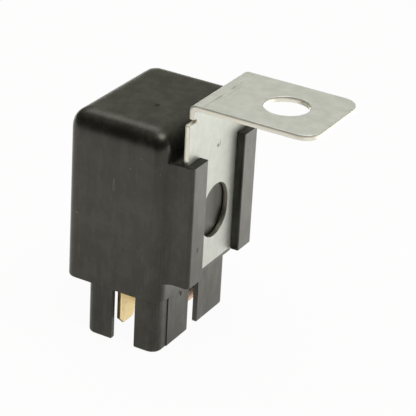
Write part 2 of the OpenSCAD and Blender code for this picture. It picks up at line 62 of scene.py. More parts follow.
MM = 0.001
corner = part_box("cover")[0]
cover_x, cover_y, cover_z = 25.1, 34.3, 41.0


class Sock:
    """A socket of a material's nodes. Arithmetic on it adds Math nodes."""

    def __init__(self, tree, socket):
        self.tree = tree
        self.socket = socket

    def math(self, operation, *values):
        return self.node("ShaderNodeMath", {"operation": operation}, *values)

    def __add__(self, other):
        return self.math("ADD", self, other)

    def __radd__(self, other):
        return self.math("ADD", other, self)

    def __sub__(self, other):
        return self.math("SUBTRACT", self, other)

    def __rsub__(self, other):
        return self.math("SUBTRACT", other, self)

    def __mul__(self, other):
        return self.math("MULTIPLY", self, other)

    def __rmul__(self, other):
        return self.math("MULTIPLY", other, self)

    def __truediv__(self, other):
        return self.math("DIVIDE", self, other)

    def __pow__(self, other):
        return self.math("POWER", self, other)

    def __abs__(self):
        return self.math("ABSOLUTE", self)

    def climb(self, low, high):
        """0 below low, 1 above high, with a smooth climb between."""
        kind = {"interpolation_type": "SMOOTHSTEP"}
        return self.node("ShaderNodeMapRange", kind, self, low, high)

    def node(self, kind, settings=None, *values, give=0, **named):
        """Any other node: its type, its settings, then the values or links of its sockets."""
        made = self.tree.nodes.new(kind)
        for key, value in (settings or {}).items():
            setattr(made, key, value)
        for key, value in [*enumerate(values), *named.items()]:
            socket = made.inputs[key if isinstance(key, int) else key.replace("_", " ")]
            if isinstance(value, Sock):
                self.tree.links.new(value.socket, socket)
            elif isinstance(value, (tuple, list)):
                socket.default_value = (*value, 1)[: len(socket.default_value)]
            elif value is not None:
                socket.default_value = value
        if isinstance(give, tuple):
            return [Sock(self.tree, made.outputs[one]) for one in give]
        return Sock(self.tree, made.outputs[give])

    def xyz(self):
        return self.node("ShaderNodeSeparateXYZ", None, self, give=("X", "Y", "Z"))

    def vector(self, operation, *values, give="Vector"):
        return self.node("ShaderNodeVectorMath", {"operation": operation}, self, *values, give=give)

    def noise(self, size, detail=2.0, rough=0.5):
        """Cloudy noise, about 0 to 1, with lumps of about size millimetres."""
        size = size if isinstance(size, tuple) else (size, size, size)
        spread = self.vector("DIVIDE", size)
        return self.node("ShaderNodeTexNoise", None, Vector=spread, Scale=1.0, Detail=detail,
                         Roughness=rough)

    def near(self, spot, size, soft=0.5):
        """1 inside an egg of the given half sizes round a spot, 0 outside it, soft at the rim."""
        away = self.vector("SUBTRACT", spot).vector("DIVIDE", size)
        return 1 - away.vector("LENGTH", give="Value").climb(1 - soft, 1 + soft)

    def mix(self, low, high):
        """low where this mask is 0 and high where it is 1, for colours or links to colours."""
        gap = [None] * 5
        return self.node("ShaderNodeMix", {"data_type": "RGBA"}, self, *gap, low, high, give=2)


def finish(name, metal=0.0, ior=1.5, coat=0.0, coat_rough=0.1):
    """A new material, with the place on the object in mm from the cover's corner, the way each
    surface faces, and its shader."""
    made = bpy.data.materials.new(name)
    made.use_nodes = True
    tree = made.node_tree
    shader = tree.nodes["Principled BSDF"]
    shader.inputs["IOR"].default_value = ior
    shader.inputs["Metallic"].default_value = metal
    shader.inputs["Coat Weight"].default_value = coat
    shader.inputs["Coat Roughness"].default_value = coat_rough
    raw, facing = Sock(tree, None).node("ShaderNodeTexCoord", give=("Object", "Normal"))
    place = raw.vector("SUBTRACT", tuple(corner)).vector("DIVIDE", (MM, MM, MM))
    return made, place, facing, shader


def coat_with(shader, height=None, depth=0.01, **surface):
    """Joins what changes over a surface to its shader. Height is in steps of depth mm."""
    for name, value in surface.items():
        value.tree.links.new(value.socket, shader.inputs[name.replace("_", " ")])
    if height is not None:
        bump = height.node("ShaderNodeBump", None, Distance=depth * MM, Height=height)
        height.tree.links.new(bump.socket, shader.inputs["Normal"])


def black_polyamide(name, tone, drag_marks):
    """Black moulded polyamide: cloudy patches, upright drag marks, and fine grain."""
    made, place, _, shader = finish(name, ior=1.58, coat_rough=0.36)
    shader.inputs["Specular Tint"].default_value = (1.0, 0.965, 0.84, 1.0)
    clouds = place.noise((3.5, 3.5, 6.0), 4, 0.65)
    drag = place.noise((0.45, 0.45, 14.0), 3, 0.6)
    grain = place.noise(0.22, 2, 0.6)
    lint = place.noise(0.5, 1, 0.4).climb(0.79, 0.82) * place.noise(6.0, 1).climb(0.5, 0.6)
    dragged = place.noise((7.0, 7.0, 11.0), 2).climb(0.40, 0.62) * (drag - 0.5) * drag_marks
    worn = (clouds * 0.8 + dragged + 0.1).climb(0.36, 0.66)
    skin = (grain * 0.45 + worn * 0.55).climb(0.3, 0.8).mix(tone, [c * 4 for c in tone])
    return made, place, shader, skin, worn, clouds, drag, grain, lint


cover_black, place, shader, skin, worn, clouds, drag, grain, lint = black_polyamide(
    "black_polyamide_cover", (0.0036, 0.0035, 0.0028), 0.5)
rub = place.near((12.46, 0.0, 26.1), (0.32, 0.5, 1.5), 0.3)
rub = rub - place.near((12.46, 0.0, 26.1), (0.14, 0.5, 1.0), 0.4) * 0.8
nick = place.near((3.0, 0.0, 16.6), (0.4, 0.5, 0.12), 0.4)
fleck = place.near((16.5, 0.0, 31.1), (0.14, 0.4, 0.2), 0.4)
fleck = fleck + place.near((19.2, 0.0, 34.2), (0.16, 0.4, 0.12), 0.4)
soot = place.near((14.9, 13.1, 41.0), (0.5, 0.7, 0.5), 0.6)
soot = soot + place.near((30.65, 6.3, 13.0), (0.4, 0.35, 0.6), 0.6)
scratch = place.noise((0.10, 0.10, 22.0), 1, 0.4).climb(0.70, 0.78)
scratch = scratch * place.noise(5.0).climb(0.5, 0.62)
colour = (lint * 0.5 + scratch * 0.10).climb(0, 1).mix(skin, (0.20, 0.19, 0.16))
colour = (rub * 0.45).mix(colour, (0.30, 0.30, 0.27))
colour = (nick * 0.5 + fleck * 0.35).mix(colour, (0.42, 0.38, 0.26))
colour = (soot * 0.8).mix(colour, (0.004, 0.004, 0.004))
coat_with(shader, drag * 0.5 + grain * 0.3 + clouds, 0.012, Base_Color=colour,
          Roughness=drag * 0.12 + clouds * 0.14 + rub * 0.2 + 0.24, Metallic=soot * 0.8,
          Coat_Weight=worn * (1 - soot) * 0.25)


def put(x, y, z):
    """A point given in millimetres from the cover's corner."""
    return corner + Vector((x, y, z)) * MM


def outline(*corners):
    """A closed outline from (x, y, radius) corners, anticlockwise, each with its own round."""
    flat = [Vector(one[:2]) for one in corners]
    points = []
    for i, (_, _, radius) in enumerate(corners):
        here, back, on = flat[i], flat[i - 1], flat[(i + 1) % len(flat)]
        to_back, to_on = (back - here).normalized(), (on - here).normalized()
        half = to_back.angle(to_on) / 2
        if radius <= 0:
            points.append(here)
            continue
        centre = here + (to_back + to_on).normalized() * (radius / math.sin(half))
        start = here + to_back * (radius / math.tan(half)) - centre
        sweep = math.pi - 2 * half
        steps = max(3, round(sweep / math.radians(9)))
        side = 1 if to_back.cross(to_on) < 0 else -1
        points += [centre + Matrix.Rotation(side * sweep * k / steps, 2) @ start
                   for k in range(steps + 1)]
    return points


def drawn_in(points, depth):
    """The outline moved inwards by depth, or outwards if depth is below 0. A round that is
    smaller than the depth closes to a corner."""
    count = len(points)
    moved = []
    for i, here in enumerate(points):
        a = (here - points[i - 1]).normalized()
        b = (points[(i + 1) % count] - here).normalized()
        a, b = Vector((-a.y, a.x)), Vector((-b.y, b.x))
        moved.append(here + (a + b) * (depth / (1 + a.dot(b))))
    kept = [(moved[i] - moved[i - 1]).dot(points[i] - points[i - 1]) > 0 for i in range(count)]
    if not any(kept):
        return moved
    closed = []
    for i in range(count):
        back, on = i, (i + 1) % count
        while not kept[back]:
            back = (back - 1) % count
        while not kept[on]:
            on = (on + 1) % count
        a, along = moved[back - 1], moved[back] - moved[back - 1]
        c, other = moved[on - 1], moved[on] - moved[on - 1]
        turn = along.cross(other)
        good = (back == i and on == (i + 1) % count) or abs(turn) < 1e-9
        closed.append(moved[i] if good else a + along * ((c - a).cross(other) / turn))
    return closed


def holds(points, spot):
    """Whether a spot lies inside an outline."""
    inside = False
    for i, b in enumerate(points):
        a = points[i - 1]
        if (a.y > spot.y) != (b.y > spot.y):
            inside ^= spot.x < a.x + (spot.y - a.y) * (b.x - a.x) / (b.y - a.y)
    return inside


def edge_steps(low, high, soft_low, soft_high, steps=4):
    """(how far in, height) of each ring of a slab whose two edges are rounded."""
    rows = []
    for k in range(steps + 1):
        a = math.pi / 2 * k / steps
        rows.append((soft_low * (1 - math.sin(a)), low + soft_low * (1 - math.cos(a))))
    for k in range(steps + 1):
        a = math.pi / 2 * (1 - k / steps)
        rows.append((soft_high * (1 - math.sin(a)), high - soft_high * (1 - math.cos(a))))
    return rows


def slab(body, outer, holes, low, high, soft, lay, creases=()):
    """Adds a plate of the given outline to a bmesh, with rounded edges. lay gives the point in
    the object for (across, along, height); creases are pairs of points its faces split at."""
    soft_low, soft_high = soft if isinstance(soft, tuple) else (soft, soft)
    rows = edge_steps(low, high, soft_low, soft_high)
    caps = {0: [], len(rows) - 1: []}
    for loop, way in [(outer, 1), *((hole, -1) for hole in holes)]:
        rings = []
        for depth, height in rows:
            flat = drawn_in(loop, depth * way)
            rings.append([(p, body.verts.new(lay(p.x, p.y, height))) for p in flat])
        for one, two in zip(rings, rings[1:]):
            for i in range(len(one)):
                wall = body.faces.new([one[i - 1][1], one[i][1], two[i][1], two[i - 1][1]])
                wall.material_index = 1
        for row in caps:
            caps[row].append(rings[row])
    for row, loops in caps.items():
        spots = [p for ring in loops for p, _ in ring]
        verts = [v for ring in loops for _, v in ring]
        edges, start = [], 0
        for ring in loops:
            edges += [(start + i, start + (i + 1) % len(ring)) for i in range(len(ring))]
            start += len(ring)
        for pair in creases:
            ends = [min(range(len(spots)), key=lambda i: (spots[i] - Vector(one)).length)
                    for one in pair]
            edges.append(tuple(ends))
        found = delaunay_2d_cdt(spots, edges, [], 0, 1e-6)
        made = {}
        for face in found[2]:
            middle = sum((found[0][i] for i in face), Vector((0, 0))) / len(face)
            outside = not holds([p for p, _ in loops[0]], middle)
            if outside or any(holds([p for p, _ in ring], middle) for ring in loops[1:]):
                continue
            ring = []
            for i in face:
                if i not in made:
                    old = found[3][i]
                    made[i] = verts[old[0]] if old else body.verts.new(
                        lay(found[0][i].x, found[0][i].y, rows[row][1]))
                ring.append(made[i])
            if len(set(ring)) > 2:
                body.faces.new(ring)


def piece(name, body, materials, carrier, slot, *stands_for):
    """Makes an object of a bmesh that rides on a body, if it names one, and stands for nodes.
    A second material goes on the walls that a slab was cut to."""
    bmesh.ops.remove_doubles(body, verts=body.verts, dist=1e-7)
    bmesh.ops.recalc_face_normals(body, faces=body.faces)
    mesh = bpy.data.meshes.new(name)
    body.to_mesh(mesh)
    body.free()
    mesh.shade_smooth()
    for material in materials:
        mesh.materials.append(material)
    if len(materials) < 2:
        mesh.polygons.foreach_set("material_index", [0] * len(mesh.polygons))
    made = bpy.data.objects.new(name, mesh)
    bpy.context.scene.collection.objects.link(made)
    even = made.modifiers.new("even", "WEIGHTED_NORMAL")
    even.weight = 80
    if carrier:
        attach(made, carrier)
    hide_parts(*stands_for)
    return made


lean, fullness = 0.15, 2.8
top_round, corner_r, rail_y = 5.2, 2.9, 2.9


def cap_ring(inset, radius, height):
    """The cover's plan, drawn in from its sides, with round corners."""
    box = [(inset, inset), (cover_x - inset, inset), (cover_x - inset, cover_y - inset),
           (inset, cover_y - inset)]
    points = []
    for k, (x, y) in enumerate(box):
        cx = x + radius * (1 if x < cover_x / 2 else -1)
        cy = y + radius * (1 if y < cover_y / 2 else -1)
        for step in range(10):
            a = math.radians(180 + 90 * k + 10 * step)
            points.append((cx + radius * math.cos(a), cy + radius * math.sin(a), height))
    return points


def cap_rows(inset, top, fall, radius):
    """Rings up one side of the cap and over its soft, full edge to the flat top."""
    rows = [(inset + lean * k / 4, radius, 0.15 + (top - fall - 0.15) * k / 4) for k in range(5)]
    for k in range(1, 19):
        a = math.radians(5 * k)
        roll = 1 - max(0.0, math.cos(a)) ** (2 / fullness)
        rows.append((inset + lean + fall * roll, radius - (radius - 0.9) * roll,
                     top - fall + fall * math.sin(a) ** (2 / fullness)))
    last = rows[-1]
    return rows + [(last[0] + 0.4, last[1], top)]


inner = cap_rows(1.3, 39.7, 3.9, 1.6)
rim = [(1.255, 1.6, 0.045), (1.15, 1.7, 0.0), (0.15, 2.75, 0.0), (0.045, 2.85, 0.045)]
body = bmesh.new()
rings = []
for inset, radius, height in [*reversed(inner), *rim, *cap_rows(0.0, cover_z, top_round, corner_r)]:
    rings.append([body.verts.new(put(*p)) for p in cap_ring(inset, radius, height)])
for one, two in zip(rings, rings[1:]):
    for i in range(len(one)):
        body.faces.new([one[i - 1], one[i], two[i], two[i - 1]])
body.faces.new(rings[0])
body.faces.new(rings[-1])

plate_back = 27.2
rail_low, rail_high = 4.4, 33.8
half_y = cover_y / 2
hollow = 3.0
turn_in = Vector((cover_x - corner_r, corner_r))
foot = Vector((turn_in.x + math.sqrt((corner_r + hollow) ** 2 - hollow ** 2), rail_y - hollow))
start = math.pi - math.asin(hollow / (corner_r + hollow))
hollow_round = [(foot.x + hollow * math.cos(a), foot.y + hollow * math.sin(a), 0)
                for a in (start + (math.pi / 2 - start) * k / 10 for k in range(11))]
rail_x, lip_x, pad_x, groove_y, lip_y = 30.65, 28.55, 27.15, 4.1, 9.1
one_side = [(24.2, 2.3, 0), *hollow_round, (rail_x, rail_y, 0.95), (rail_x, lip_y, 0.3),
            (lip_x, lip_y, 0.25), (lip_x, groove_y, 0.1), (pad_x, groove_y, 0.1)]
profile = outline(*one_side, *[(x, cover_y - y, r) for x, y, r in reversed(one_side)])


def along_rail(x, y, z):
    """The root of a rail leans in with the cover's wall, and the rest stands straight."""
    share = min(1.0, max(0.0, (foot.x - x) / (foot.x - hollow_round[0][0])))
    shift = lean * share * z / (cover_z - top_round)
    return put(x - shift, y + (shift if y < half_y else -shift), z)


rails = bmesh.new()
slab(rails, profile, [], rail_low, rail_high, 0.16, along_rail)
bmesh.ops.recalc_face_normals(rails, faces=rails.faces)
rails_mesh = bpy.data.meshes.new("rails")
rails.to_mesh(rails_mesh)
rails.free()
rails_tool = bpy.data.objects.new("rails", rails_mesh)
bpy.context.scene.collection.objects.link(rails_tool)
cover = piece("cover_moulding", body, [cover_black], "relay", "cover", "cover")
join = cover.modifiers.new("join", "BOOLEAN")
join.operation = "UNION"
join.solver = "EXACT"
join.object = rails_tool
cover.modifiers.move(1, 0)
bpy.context.view_layer.update()
whole = bpy.data.meshes.new_from_object(cover.evaluated_get(bpy.context.evaluated_depsgraph_get()))
cover.modifiers.clear()
cover.data = whole
whole.shade_smooth()
even = cover.modifiers.new("even", "WEIGHTED_NORMAL")
even.weight = 80
bpy.data.objects.remove(rails_tool)


# ---------------------------------------------------------------- base
# The base is a second black moulding: a floor in the cover's mouth and four corner legs that
# shroud the blades. Its slots guide the socket. It is duller than the cover.

base_black, place, shader, skin, worn, clouds, drag, grain, lint = black_polyamide(
    "black_polyamide_base", (0.0034, 0.0033, 0.0027), 1.0)
chip = place.near((25.0, 9.75, -1.35), (0.5, 0.38, 0.62), 0.35)
chip = (chip + place.near((25.0, 9.0, -0.7), (0.5, 0.26, 0.42), 0.45) * 0.8).climb(0.0, 1.0)
colour = (lint * 0.35).mix(skin, (0.20, 0.19, 0.16))
colour = (chip * 0.9).mix(colour, (0.002, 0.002, 0.002))
coat_with(shader, drag * 0.6 + grain * 0.5 + clouds * 0.8 - chip * 4, 0.012, Base_Color=colour,
          Roughness=drag * 0.14 + clouds * 0.12 + 0.30, Metallic=chip * 0.95,
          Coat_Weight=worn * (1 - chip) * 0.28)

leg_low = (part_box("base")[0] - corner).z / MM
wall, end = 1.25, 0.1
x0, x1, y0, y1 = 6.0, 24.98, 0.12, 29.8
slot_x0, slot_x1 = 12.95, 18.9
# A wide slot parts the two legs at x0, and a narrow one parts the two at x1.
left_y0, left_y1, right_y0, right_y1 = 9.4, 20.6, 13.35, 17.7
legs = [
    outline((x0, y0, 2.4), (slot_x0, y0, end), (slot_x0, y0 + wall, end),
            (x0 + wall, y0 + wall, 1.15), (x0 + wall, left_y0, end), (x0, left_y0, end)),
    outline((slot_x1, y0, end), (x1 - 0.22, y0, 2.6), (x1 - 0.22, 4.5, 0.05), (x1, 4.5, 0.06),
            (x1, right_y0, end), (x1 - wall, right_y0, end), (x1 - wall, y0 + wall, 1.2),
            (slot_x1, y0 + wall, end)),
    outline((x1, right_y1, end), (x1, y1, 1.5), (slot_x1, y1, end), (slot_x1, y1 - wall, end),
            (x1 - wall, y1 - wall, 0.4), (x1 - wall, right_y1, end)),
    outline((x0, left_y1, end), (x0 + wall, left_y1, end), (x0 + wall, y1 - wall, 1.15),
            (slot_x0, y1 - wall, end), (slot_x0, y1, end), (x0, y1, 2.4)),
]
root_in = 2.95
in_x0, in_x1, in_y0, in_y1 = x0 + root_in, x1 - root_in, y0 + root_in, y1 - root_in
roots = [
    outline((x0 + 1, y0 + 1, 0.8), (slot_x0 - 2, y0 + 1, 0.1), (slot_x0 - 2, in_y0, end),
            (in_x0, in_y0, 0.4), (in_x0, left_y0, end), (x0 + 1, left_y0, 0.1)),
    outline((slot_x1 + 0.1, y0 + 1, 0.1), (x1 - 1, y0 + 1, 1.4), (x1 - 1, right_y0 - 0.05, 0.1),
            (in_x1, right_y0 - 0.05, end), (in_x1, in_y0, 0.4), (slot_x1 + 0.1, in_y0, end)),
    outline((x1 - 1, right_y1 + 0.1, 0.1), (x1 - 1, y1 - 1, 0.3), (slot_x1 + 0.1, y1 - 1, 0.1),
            (slot_x1 + 0.1, in_y1, end), (in_x1, in_y1, 0.4), (in_x1, right_y1 + 0.1, 0.1)),
    outline((x0 + 1, left_y1 + 0.1, 0.1), (in_x0, left_y1 + 0.1, end), (in_x0, in_y1, 0.4),
            (slot_x0 - 0.1, in_y1, end), (slot_x0 - 0.1, y1 - 1, 0.1), (x0 + 1, y1 - 1, 0.8)),
]


def circle(x, y, radius, steps=36):
    """A round outline."""
    return [Vector((x + radius * math.cos(a), y + radius * math.sin(a)))
            for a in (math.radians(360 / steps * k) for k in range(steps))]


def slit(x, y, wide, deep):
    """The outline of a slit for a blade, round a middle."""
    return outline((x - wide / 2, y - deep / 2, 0.1), (x + wide / 2, y - deep / 2, 0.1),
                   (x + wide / 2, y + deep / 2, 0.1), (x - wide / 2, y + deep / 2, 0.1))


body = bmesh.new()
for leg in legs:
    slab(body, leg, [], leg_low, 0.0, (0.6, 0.05), put)
for one in roots:
    slab(body, one, [], -1.6, -0.1, (0.3, 0.0), put)
bridge = outline((x1 - wall + 0.01, 13.2, 0.02), (x1 - 0.01, 13.2, 0.02), (x1 - 0.01, 17.85, 0.02),
                 (x1 - wall + 0.01, 17.85, 0.02))
slab(body, bridge, [], -2.0, -0.05, (0.15, 0.0), put)
shroud = outline((6.3, 1.55, 1.2), (23.55, 1.55, 1.2), (23.55, 29.5, 1.2), (6.3, 29.5, 1.2))
mouth = outline((8.95, 3.07, 0.4), (22.03, 3.07, 0.4), (22.03, 26.85, 0.4), (8.95, 26.85, 0.4))
slab(body, shroud, [mouth], -0.2, 1.0, 0.05, put)
slit_w, slit_t = 6.6, 1.1
slits = [slit(13.55, 5.15, slit_t, slit_w), slit(10.3, 21.3, slit_t, slit_w),
         slit(20.7, 21.3, slit_t, slit_w), slit(15.5, 25.9, slit_w, slit_t),
         slit(15.5, 13.2, slit_w, slit_t)]
slab(body, outline((1.55, 1.55, 1), (23.55, 1.55, 1), (23.55, 32.75, 1), (1.55, 32.75, 1)),
     slits, 0.6, 3.6, 0.12, put)
for x in (7.75, 17.35):
    slab(body, circle(x, 18.3, 1.6), [], 3.0, 5.4, 0.1, put)
    slab(body, circle(x, 18.3, 0.95), [], 5.0, 7.25, 0.1, put)
piece("base_moulding", body, [base_black], "relay", "base", "base")


# ---------------------------------------------------------------- bracket
# The bracket is blanked and bent from one 1.3 mm sheet of steel and then zinc plated. The press
# leaves a rolled edge on one side and a rough, slightly brown sheared band on the cut faces.
# It slides down into the cover's rails.

zinc, place, facing, shader = finish("zinc_plated_steel", metal=0.55)
x, _, z = place.xyz()
bend_x, bend_z, sheet, bend_in = 28.9, 45.55, 1.3, 0.4
to_x = x.math("MAXIMUM", bend_x - x, 0)
to_z = z.math("MAXIMUM", z - bend_z, 0)
radial = (to_x * to_x + to_z * to_z) ** 0.5
depth = (bend_in + sheet - radial) / sheet
nx, _, nz = facing.xyz()
square_on = abs((nx * to_x * -1 + nz * to_z) / (radial + 0.001))
cut = 1 - square_on.climb(0.25, 0.6)
mottle = place.noise(2.6, 4, 0.6)
spangle = place.node("ShaderNodeTexVoronoi", None, Vector=place, Scale=1.6, give="Distance")
rolled = place.noise((7.0, 0.16, 7.0), 3, 0.6)
pits = place.noise(0.28, 2, 0.6)
# Painted shade: two darker lines across the flange, past the end of its modelled bend, stand in for
# the shade of a rounder bend, broken into streaks.
bend_shade_lines = (place.near((30.5, 17.2, 47.2), (0.16, 12.0, 0.6), 0.7)
             + place.near((31.5, 17.2, 47.2), (0.14, 12.0, 0.6), 0.7) * 0.5)
bend_shade_lines = bend_shade_lines * place.noise((1.0, 2.5, 1.0)).climb(0.3, 0.6)
rub = place.near((30.9, 15.2, 47.2), (0.5, 5.0, 0.6), 0.7)
rub = rub * place.noise((0.4, 2.0, 1.0)).climb(0.5, 0.65)
smudge = place.near((28.5, 16.9, 33.7), (0.6, 0.42, 0.42), 0.5)
smudge = smudge + place.near((28.5, 17.75, 34.1), (0.6, 0.16, 0.8), 0.6) * 0.7
smudge = smudge + place.near((28.5, 6.6, 45.9), (0.8, 0.9, 0.4), 0.6) * 0.6
tint = (mottle * 0.75 + rolled * 0.25).climb(0.30, 0.70)
tint = tint.mix((0.60, 0.62, 0.58), (0.70, 0.715, 0.675))
# The bend's painted shade and the rubbed streaks darken the zinc to one warm grey.
tint = (bend_shade_lines * 0.7 + rub * 0.45).climb(0, 1).mix(tint, (0.34, 0.33, 0.29))
tint = (smudge * 0.75).mix(tint, (0.20, 0.20, 0.19))
torn = place.noise(0.4, 3, 0.7)
band = 1 - (depth + torn * 0.15).climb(0.36, 0.54)
edge = (band * (torn * 0.5 + 0.35)).mix((0.93, 0.90, 0.80), (0.42, 0.37, 0.30))
window_wall = place.near((27.85, 17.15, 17.75), (2.0, 6.0, 6.75), 0.02) * cut
tint = cut.mix(tint, edge)
coat_with(shader, mottle * 0.3 + pits * 0.3 + spangle * 0.1 + cut * torn * 1.5, 0.010,
          Base_Color=tint,
          Roughness=mottle * 0.10 + rolled * 0.04 - cut * 0.14 + smudge * 0.2 + 0.42,
          Metallic=0.46 + cut * 0.20 + window_wall * 0.30)


def folded(bend, inner, thick, turn=90):
    """The way a flat blank bends once: from (along, depth) to (out, up) past the bend."""
    run = (inner + thick / 2) * math.radians(turn)

    def lay(along, depth):
        if along <= bend:
            return depth, along
        a = math.radians(turn) * min(1, (along - bend) / run)
        centre, reach = thick + inner, thick + inner - depth
        out, up = centre - reach * math.cos(a), bend + reach * math.sin(a)
        rest = max(0, along - bend - run)
        return out + rest * math.sin(a), up + rest * math.cos(a)

    return run, lay


def crossed(points, lines):
    """The outline with extra points where it crosses the lines at the given distances along."""
    found = []
    for i, b in enumerate(points):
        a = points[i - 1]
        cuts = [s for s in lines if (a.x - s) * (b.x - s) < 0 and abs(a.y - b.y) < 1e-3]
        found += [a.lerp(b, (s - a.x) / (b.x - a.x)) for s in sorted(cuts, reverse=a.x > b.x)]
        found.append(b)
    return found


run, lay_bracket = folded(bend_z, bend_in, sheet)
flange_end, bolt_x, bolt_r = 56.6, 44.4, 5
blank_end = bend_z + run + flange_end - bend_x
plate_low, shoulder, notch_top = 4.7, 42.9, 43.7
low_y, high_y, neck, notch = 4.15, 30.15, 1.5, 1.2
blank = outline((plate_low, low_y, 0.35), (shoulder, low_y, 0.3),
                (shoulder, low_y + neck + notch, 0.25), (notch_top, low_y + neck + notch, 0.35),
                (notch_top, low_y + neck, 0.12), (blank_end, low_y + neck, 4.2),
                (blank_end, high_y - neck, 4.2), (notch_top, high_y - neck, 0.12),
                (notch_top, high_y - neck - notch, 0.35), (shoulder, high_y - neck - notch, 0.25),
                (shoulder, high_y, 0.3), (plate_low, high_y, 0.35))
bend_rows = [bend_z + run * k / 10 for k in range(11)]
blank = crossed(blank, bend_rows)
window_z, half_tall, half_wide = 17.75, 6.45, 5.7
window_r = half_wide - 0.001
window = outline((window_z - half_tall, half_y - half_wide, window_r),
                 (window_z + half_tall, half_y - half_wide, window_r),
                 (window_z + half_tall, half_y + half_wide, window_r),
                 (window_z - half_tall, half_y + half_wide, window_r))
bolt_hole = circle(bend_z + run + bolt_x - bend_x, half_y, bolt_r, 72)


def on_bracket(along, across, depth):
    """A point of the flat blank, after the bend above the cover."""
    out, up = lay_bracket(along, depth)
    return put(plate_back + out, across, up)


body = bmesh.new()
slab(body, blank, [window, bolt_hole], 0.0, sheet, (0.28, 0.12), on_bracket,
     [((s, low_y + neck), (s, high_y - neck)) for s in bend_rows])
piece("bracket_sheet", body, [zinc], "bracket", "bracket", "bracket")


# ---------------------------------------------------------------- seal
# A bead of grey epoxy resin poured into the cover's mouth outside the shroud. It levels itself
# as it cures, so it is glossy, with a few lint marks.

def soften(name, material, width):
    """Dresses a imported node: its sharp edges get a small round, and it takes a material."""
    part = nodes[name]
    part.data.materials.clear()
    part.data.materials.append(material)
    weld = part.modifiers.new("weld", "WELD")
    weld.merge_threshold = 2e-6
    round_off = part.modifiers.new("round", "BEVEL")
    round_off.width = width * MM
    round_off.segments = 3
    round_off.limit_method = "ANGLE"
    round_off.angle_limit = math.radians(40)
    round_off.harden_normals = False
    even = part.modifiers.new("even", "WEIGHTED_NORMAL")
    even.keep_sharp = False
    part.data.shade_smooth()
    return part


resin, place, _, shader = finish("epoxy_resin", ior=1.55)
swirl = place.noise((3.0, 3.0, 1.0), 3, 0.6)
speck = place.noise(0.3, 2, 0.5).climb(0.66, 0.72)
coat_with(shader, swirl + speck * 0.6, 0.02, Base_Color=(speck * 0.5).mix(
    swirl.climb(0.3, 0.7).mix((0.030, 0.029, 0.026), (0.052, 0.050, 0.045)), (0.12, 0.12, 0.11)),
    Roughness=swirl * 0.12 + speck * 0.2 + 0.10)
soften("seal", resin, 0.12)


# ---------------------------------------------------------------- blades and terminals
# The five blades are stamped from 0.8 mm brass strip, with their tips bevelled to enter a socket.
# Three go on as bent straps inside, to the yoke and the two fixed contacts. The two coil
# blades are a redder copper alloy, with a narrow tongue for the wires, and their pink tone is
# also a painted reflection, the warm glow of a blade in shade. All stand in the base. The cut
# edges of every blade take a much darker copy of their metal, which is painted shade.

def strip_metal(name, dark, bright, tarnish, rough, brush, metal=0.9):
    """Rolled strip: fine lines along the brush, cloudy tarnish, and small bright rubs."""
    made, place, _, shader = finish(name, metal=metal)
    lines = place.noise(brush, 3, 0.65)
    cloud = place.noise(2.2, 4, 0.6)
    rub = place.noise(tuple(6 * size for size in brush), 2, 0.6).climb(0.60, 0.72)
    pit = place.noise(0.22, 2, 0.5).climb(0.64, 0.74)
    tone = (lines * 0.45 + cloud * 0.55).climb(0.34, 0.64).mix(dark, bright)
    tone = (cloud.climb(0.56, 0.72) * 0.5).mix(tone, tarnish)
    tone = (rub * 0.4).mix(tone, tuple(min(0.96, c * 1.12) for c in bright))
    coat_with(shader, lines * 0.6 + cloud * 0.4 - pit * 0.6, 0.006,
              Base_Color=(pit * 0.35).mix(tone, tarnish),
              Roughness=lines * 0.10 + cloud * 0.14 + pit * 0.15 - rub * 0.08 + rough)
    return made


brass = [strip_metal("brass_strip", (0.80, 0.62, 0.30), (0.93, 0.75, 0.41), (0.64, 0.44, 0.20),
                     0.24, (0.16, 0.16, 5.0)),
         # The second copy, for the cut edges, is far darker brass: painted shade on a rougher
         # sheared edge.
         strip_metal("brass_edge_painted_shade", (0.16, 0.095, 0.035), (0.30, 0.19, 0.08),
                     (0.10, 0.06, 0.025), 0.34, (0.2, 0.2, 3.0))]
# The coil blades' pink tone is partly a painted reflection: the warm glow of a blade in shade.
bronze_with_painted_light = [strip_metal("bronze_and_painted_reflection", (0.84, 0.56, 0.42), (0.95, 0.68, 0.54), (0.60, 0.34, 0.22),
                      0.28, (0.16, 0.16, 5.0)),
          # The cut edges get a far darker copy of the bronze: painted shade on a rougher sheared
          # edge.
          strip_metal("bronze_edge_painted_shade", (0.18, 0.10, 0.06), (0.30, 0.18, 0.11),
                      (0.10, 0.06, 0.04), 0.34, (0.2, 0.2, 3.0))]

blade_t, blade_w, taper, bend_r = 0.8, 6.3, 1.5, 0.2
tip_z = (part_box("terminal_make")[0] - corner).z / MM
coined = tip_z + 1.9


def tip(middle, top_low, top_high, near=taper, far=taper):
    """The blade end of an outline in (height, across), up to the given heights of its sides."""
    half = blade_w / 2
    return ([(top_high, middle + half, 0.1), (tip_z + far, middle + half, 0.2),
             (tip_z, middle + half - far, 0.15)],
            [(tip_z, middle - half + near, 0.15), (tip_z + near, middle - half, 0.2),
             (top_low, middle - half, 0.1)])


def stamped(name, middle, shape, holes, lay, metal, slot, folds=None):
    """Stamps a blade and its strap: the tip is coined thinner so that it leads in."""
    rows, low, high = folds or ([], 0, 0)
    points = crossed(outline(*shape), [*rows, coined])
    creases = [((s, low), (s, high)) for s in rows]
    creases.append(((coined, middle - blade_w / 2), (coined, middle + blade_w / 2)))

    def pressed(along, across, depth):
        thin = 0.5 * min(1.0, max(0.0, (coined - along) / (coined - tip_z)))
        return lay(along, across, depth + (blade_t / 2 - depth) * thin)

    body = bmesh.new()
    slab(body, points, holes, 0.0, blade_t, 0.1, pressed, creases)
    return piece(name + "_strip", body, metal, "relay", slot, name)


def box_mm(name):
    """The corners of a node's box in millimetres from the cover's corner."""
    low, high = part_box(name)
    return (low - corner) / MM, (high - corner) / MM


